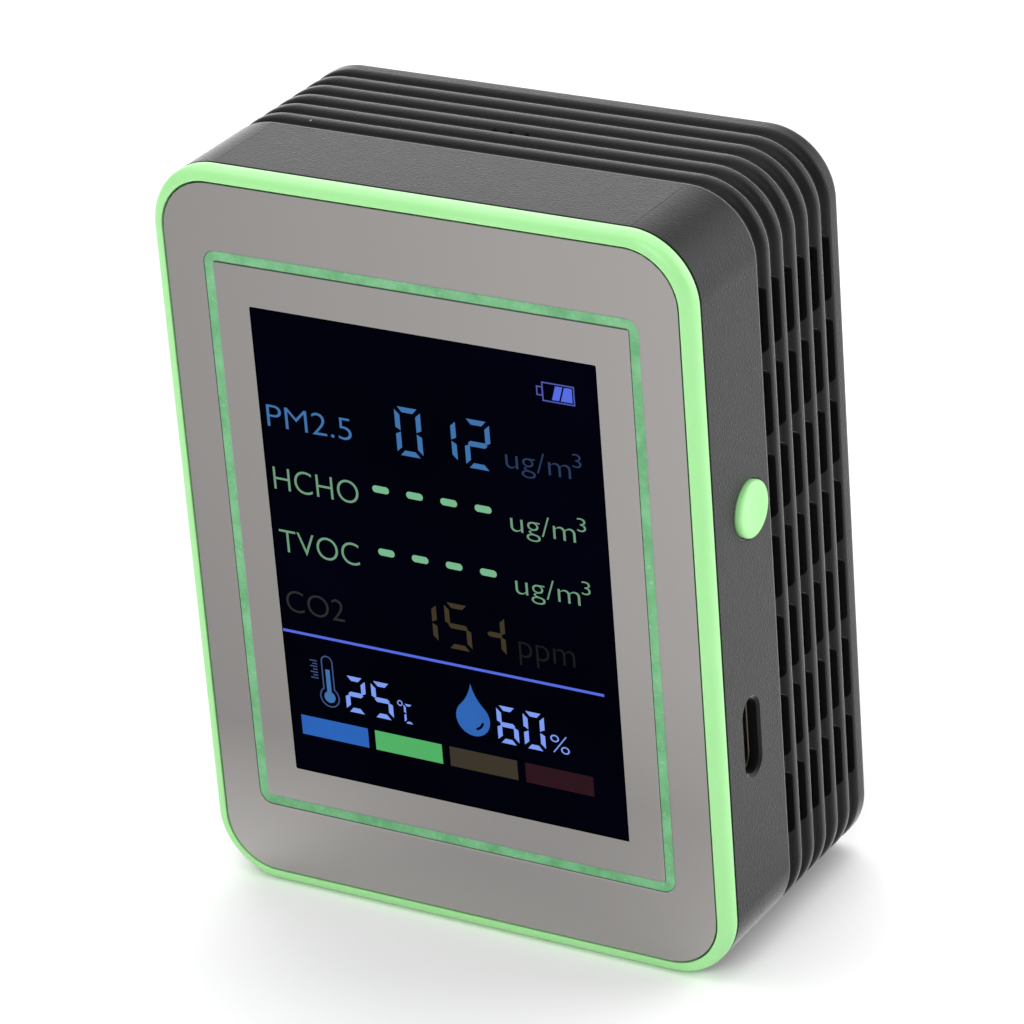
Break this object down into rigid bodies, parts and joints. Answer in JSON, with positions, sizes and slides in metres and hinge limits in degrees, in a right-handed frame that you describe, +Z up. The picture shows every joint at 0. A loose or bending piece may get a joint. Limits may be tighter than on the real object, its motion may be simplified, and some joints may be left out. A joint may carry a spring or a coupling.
{
  "type": "air quality monitor",
  "caption": "Desktop air quality monitor: ribbed, vented tub, framed mirror front with a display, side button and charging socket, sensors and fan inside.",
  "frame": {"origin": "middle of the footprint, on the surface that the monitor stands on", "axes": "+Z up; the display faces -Y and the back faces +Y; +X is the side with the button and the charging socket"},
  "size_m": [0.0673, 0.0335, 0.088],
  "materials": {
    "dark_shell": "fine textured moulded plastic, near black, which looks dark grey where it mirrors its bright surroundings at a low angle",
    "green_frame": "satin moulded plastic, pastel green",
    "mirror_panel": "polished, warm grey mirror coating",
    "green_line": "glossy green inlay",
    "display_black": "polished, near black",
    "white_plastic": "moulded, white",
    "clear_plastic": "clear acrylic",
    "amber_film": "amber polyimide film",
    "green_board": "green solder mask on glass fibre board",
    "black_plastic": "moulded, black",
    "cream_plastic": "moulded, cream",
    "steel": "plated, satin",
    "brass": "turned brass and copper",
    "silver_pouch": "laminated foil, satin silver",
    "foam": "closed cell foam, black",
    "blue_case": "moulded, dark blue",
    "red_lead": "red insulation",
    "black_lead": "black insulation"
  },
  "bodies": {
    "case": {"housing": "dark_shell", "front_frame": "green_frame", "front_panel": "mirror_panel", "accent_line": "green_line", "display_glass": "display_black", "backlight_tray": "white_plastic", "light_guide": "clear_plastic", "display_flex": "amber_film", "flex_connector": "cream_plastic", "main_board": "green_board", "processor_chip": "black_plastic", "charger_chip": "black_plastic", "battery_connector": "cream_plastic", "sensor_connector": "cream_plastic", "humidity_sensor": "black_plastic", "co2_sensor": "steel", "gas_sensor_base": "black_plastic", "gas_sensor_cap": "steel", "case_screw_1": "steel", "case_screw_2": "steel", "case_screw_3": "steel", "case_screw_4": "steel", "board_screw_1": "steel", "board_screw_2": "steel", "board_screw_3": "steel", "board_screw_4": "steel", "switch_body": "black_plastic", "socket_shell": "steel", "socket_tongue": "black_plastic", "sensor_case": "blue_case", "sensor_cover": "blue_case", "sensor_board": "green_board", "laser_module": "brass", "light_detector": "black_plastic", "port_seal": "foam", "sensor_pad": "foam", "sensor_cable": "black_lead", "fan_bearing": "brass", "fan_motor": "brass", "battery_cell": "silver_pouch", "battery_tape": "foam", "battery_lead_red": "red_lead", "battery_lead_black": "black_lead", "buzzer": "black_plastic", "buzzer_lead_red": "red_lead", "buzzer_lead_black": "black_lead"},
    "button": {"power_button": "green_frame"},
    "plunger": {"switch_plunger": "black_plastic"},
    "fan": {"fan_rotor": "black_plastic", "fan_shaft": "steel"}
  },
  "joints": [
    {"name": "button_press", "type": "slide", "parent": "case", "child": "button", "axis": [-1, 0, 0], "range_m": [0, 0.00035], "stiffness_N_per_m": 3000},
    {"name": "plunger_travel", "type": "slide", "parent": "case", "child": "plunger", "axis": [-1, 0, 0], "range_m": [0, 0.00035]},
    {"name": "fan_spin", "type": "hinge", "parent": "case", "child": "fan", "pos_m": [0.0202, 0.0066, 0.0534], "axis": [0, 1, 0], "continuous": true}
  ],
  "couplings": [
    {"joint": "plunger_travel", "follows": "button_press", "ratio": 1}
  ]
}
